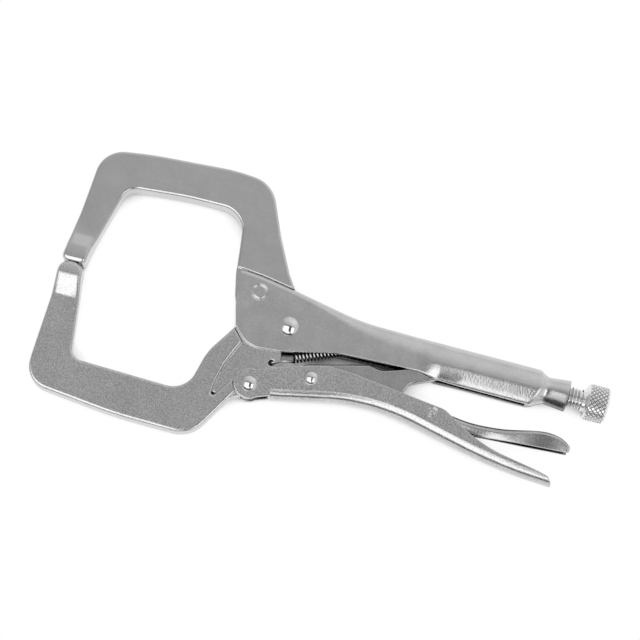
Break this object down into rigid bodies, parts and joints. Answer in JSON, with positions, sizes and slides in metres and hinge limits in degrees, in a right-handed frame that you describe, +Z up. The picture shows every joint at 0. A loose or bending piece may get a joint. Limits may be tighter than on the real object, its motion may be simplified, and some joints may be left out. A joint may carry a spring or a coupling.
{
  "type": "locking pliers",
  "caption": "Locking pliers with deep C-shaped clamping jaws, a toggle link in the handles, a jaw spring, a release lever and a knurled adjusting screw.",
  "frame": {"origin": "on the surface that the tool lies on, below the middle of its outline", "axes": "+X along the adjusting screw towards its knob, +Y from the moving jaw to the fixed jaw, +Z up along the rivets, out of the side the tool doesn't lie on"},
  "size_m": [0.2806, 0.1348, 0.0186],
  "materials": {
    "plated_sheet_steel": "satin nickel plate on folded sheet",
    "plated_forged_steel": "satin nickel plate on a blasted forging",
    "plated_screw_steel": "bright zinc or nickel plate, knurled head",
    "spring_wire": "drawn wire, plated",
    "rivet_steel": "polished and plated"
  },
  "bodies": {
    "fixed_side": {"fixed_handle": "plated_sheet_steel", "fixed_jaw": "plated_forged_steel", "jaw_pivot_rivet": "rivet_steel", "fixed_jaw_rivet": "rivet_steel", "jaw_spring": "spring_wire"},
    "moving_jaw": {"moving_jaw": "plated_forged_steel"},
    "moving_handle": {"moving_handle": "plated_sheet_steel", "handle_pivot_rivet": "rivet_steel", "link_rivet": "rivet_steel", "lever_rivet": "rivet_steel"},
    "toggle_link": {"toggle_link": "plated_forged_steel"},
    "release_lever": {"release_lever": "plated_sheet_steel"},
    "adjusting_screw": {"adjusting_screw": "plated_screw_steel"}
  },
  "joints": [
    {"name": "jaw_pivot", "type": "hinge", "parent": "fixed_side", "child": "moving_jaw", "pos_m": [-0.02199, -0.00266, 0.00928], "axis": [0, 0, 1], "range_deg": [0, 25], "deforming": ["jaw_spring"]},
    {"name": "handle_pivot", "type": "hinge", "parent": "moving_jaw", "child": "moving_handle", "pos_m": [-0.03369, -0.03516, 0.00928], "axis": [0, 0, 1], "range_deg": [-66, 0]},
    {"name": "link_pivot", "type": "hinge", "parent": "moving_handle", "child": "toggle_link", "pos_m": [-0.00499, -0.02486, 0.00928], "axis": [0, 0, 1], "range_deg": [0, 67.5]},
    {"name": "lever_pivot", "type": "hinge", "parent": "moving_handle", "child": "release_lever", "pos_m": [0.05701, -0.02606, 0.00928], "axis": [0, 0, 1], "range_deg": [-6, 0]},
    {"name": "screw_travel", "type": "slide", "parent": "fixed_side", "child": "adjusting_screw", "axis": [1, 0, 0], "range_m": [0, 0.03]}
  ],
  "couplings": [
    {"joint": "handle_pivot", "follows": "jaw_pivot", "ratio": -2.64},
    {"joint": "link_pivot", "follows": "jaw_pivot", "ratio": 2.7}
  ]
}
